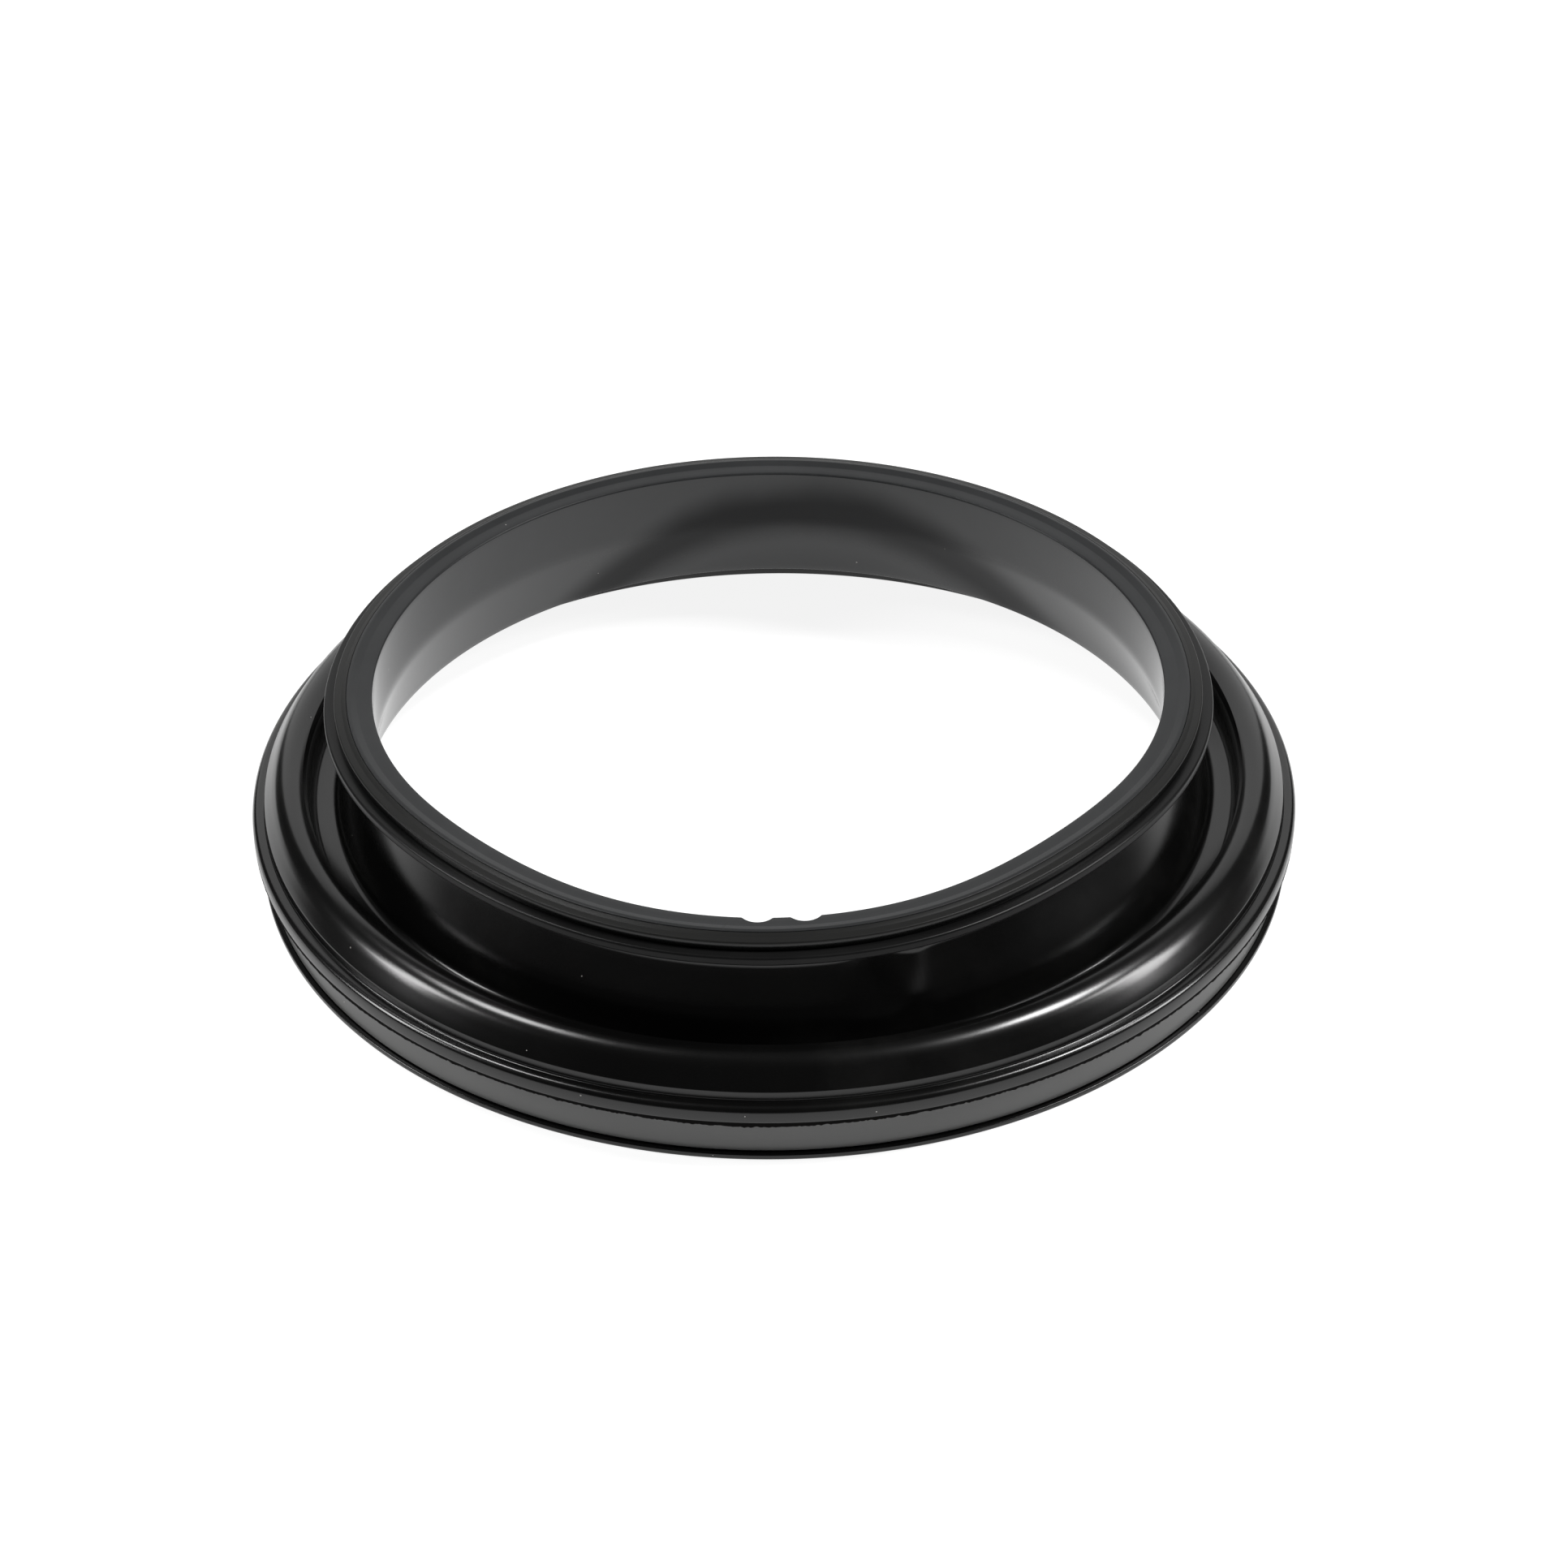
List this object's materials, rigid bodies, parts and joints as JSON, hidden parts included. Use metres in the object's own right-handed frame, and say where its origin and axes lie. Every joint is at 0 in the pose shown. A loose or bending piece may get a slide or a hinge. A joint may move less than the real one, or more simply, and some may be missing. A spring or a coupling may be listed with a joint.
{
  "type": "toilet flange seal",
  "caption": "Round rubber flange seal for a toilet outlet: lined upright neck, a fold that lets the neck float, and a stiffened base rim with a smooth band.",
  "frame": {"origin": "on the seal's axis, in the plane of its underside", "axes": "+Z along the axis, from the base rim up through the neck; +X and +Y across, with no preferred direction"},
  "size_m": [0.1468, 0.1468, 0.0269],
  "materials": {
    "boot_rubber": "black moulded rubber, satin",
    "liner_plastic": "smooth black plastic, satin gloss",
    "hoop_plastic": "black plastic, matt",
    "band_plastic": "dark grey plastic, satin",
    "core_steel": "plain steel strip, hidden in the rubber"
  },
  "bodies": {
    "base": {"sealing_boot": "boot_rubber", "base_band": "band_plastic", "rim_core_ring": "core_steel"},
    "neck": {"neck_liner": "liner_plastic", "neck_hoop": "hoop_plastic"}
  },
  "joints": [
    {"name": "neck_float", "type": "slide", "parent": "base", "child": "neck", "axis": [0, 0, 1], "range_m": [-0.003, 0.0015], "stiffness_N_per_m": 3000, "deforming": ["sealing_boot"]}
  ]
}
